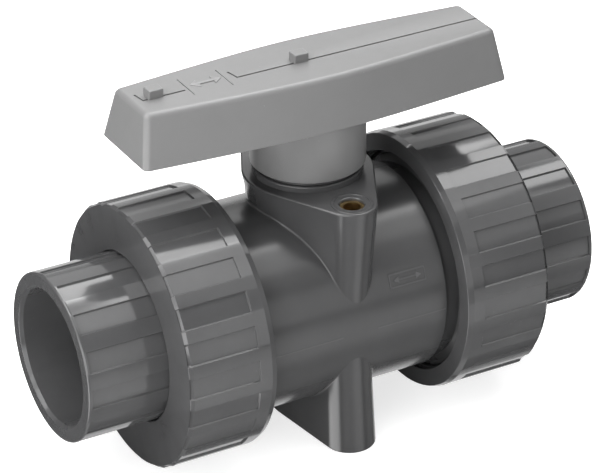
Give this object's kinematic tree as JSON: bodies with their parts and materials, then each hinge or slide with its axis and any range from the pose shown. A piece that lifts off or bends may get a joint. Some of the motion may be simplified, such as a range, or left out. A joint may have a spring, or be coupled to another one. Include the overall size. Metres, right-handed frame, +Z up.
{
  "type": "true-union ball valve",
  "caption": "Plastic ball valve with a quarter-turn lever, union nuts and solvent-cement pipe sockets at both ends.",
  "frame": {"origin": "middle of the underside of the base pad, under the crossing of the pipe axis and the stem axis", "axes": "+X along the pipe, away from the lever's tool lug; +Z up along the stem; the lever lies along X when the valve is open"},
  "size_m": [0.2612, 0.123, 0.1824],
  "materials": {
    "body_plastic": "semi-gloss dark grey moulded PVC-U",
    "nut_plastic": "semi-gloss dark grey moulded PVC-U, glossier on the grip ribs",
    "connector_plastic": "semi-gloss dark grey moulded PVC-U",
    "lever_plastic": "matte mid grey moulded plastic, fine grain",
    "ball_plastic": "polished dark grey PVC-U",
    "stem_plastic": "turned dark grey PVC-U",
    "ptfe": "waxy white PTFE",
    "seal_rubber": "matte black EPDM rubber",
    "brass": "turned brass"
  },
  "bodies": {
    "valve_body": {"body": "body_plastic", "flange_inserts": "brass", "base_inserts": "brass", "left_seat": "ptfe", "left_seat_cushion": "seal_rubber", "right_seat": "ptfe", "right_seat_cushion": "seal_rubber", "seal_carrier": "body_plastic", "seal_carrier_o_ring": "seal_rubber", "left_face_o_ring": "seal_rubber", "right_face_o_ring": "seal_rubber"},
    "lever": {"handle": "lever_plastic", "stem": "stem_plastic", "stem_slide_ring": "ptfe", "stem_o_ring_lower": "seal_rubber", "stem_o_ring_upper": "seal_rubber"},
    "valve_ball": {"ball": "ball_plastic"},
    "left_connector": {"left_end_connector": "connector_plastic"},
    "left_nut": {"left_union_nut": "nut_plastic"},
    "right_connector": {"right_end_connector": "connector_plastic"},
    "right_nut": {"right_union_nut": "nut_plastic"}
  },
  "joints": [
    {"name": "lever_turn", "type": "hinge", "parent": "valve_body", "child": "lever", "pos_m": [0, 0, 0.12], "axis": [0, 0, 1], "range_deg": [-90, 0]},
    {"name": "ball_turn", "type": "hinge", "parent": "valve_body", "child": "valve_ball", "pos_m": [0, 0, 0.062], "axis": [0, 0, 1], "range_deg": [-90, 0]},
    {"name": "left_connector_slide", "type": "slide", "parent": "valve_body", "child": "left_connector", "axis": [-1, 0, 0], "range_m": [0, 0.02]},
    {"name": "left_nut_turn", "type": "hinge", "parent": "left_connector", "child": "left_nut", "pos_m": [-0.08, 0, 0.062], "axis": [-1, 0, 0], "range_deg": [0, 1800]},
    {"name": "right_connector_slide", "type": "slide", "parent": "valve_body", "child": "right_connector", "axis": [1, 0, 0], "range_m": [0, 0.02]},
    {"name": "right_nut_turn", "type": "hinge", "parent": "right_connector", "child": "right_nut", "pos_m": [0.08, 0, 0.062], "axis": [1, 0, 0], "range_deg": [0, 1800]}
  ],
  "couplings": [
    {"joint": "ball_turn", "follows": "lever_turn", "ratio": 1},
    {"joint": "left_connector_slide", "follows": "left_nut_turn", "m_per_rad": 0.0006366},
    {"joint": "right_connector_slide", "follows": "right_nut_turn", "m_per_rad": 0.0006366}
  ]
}
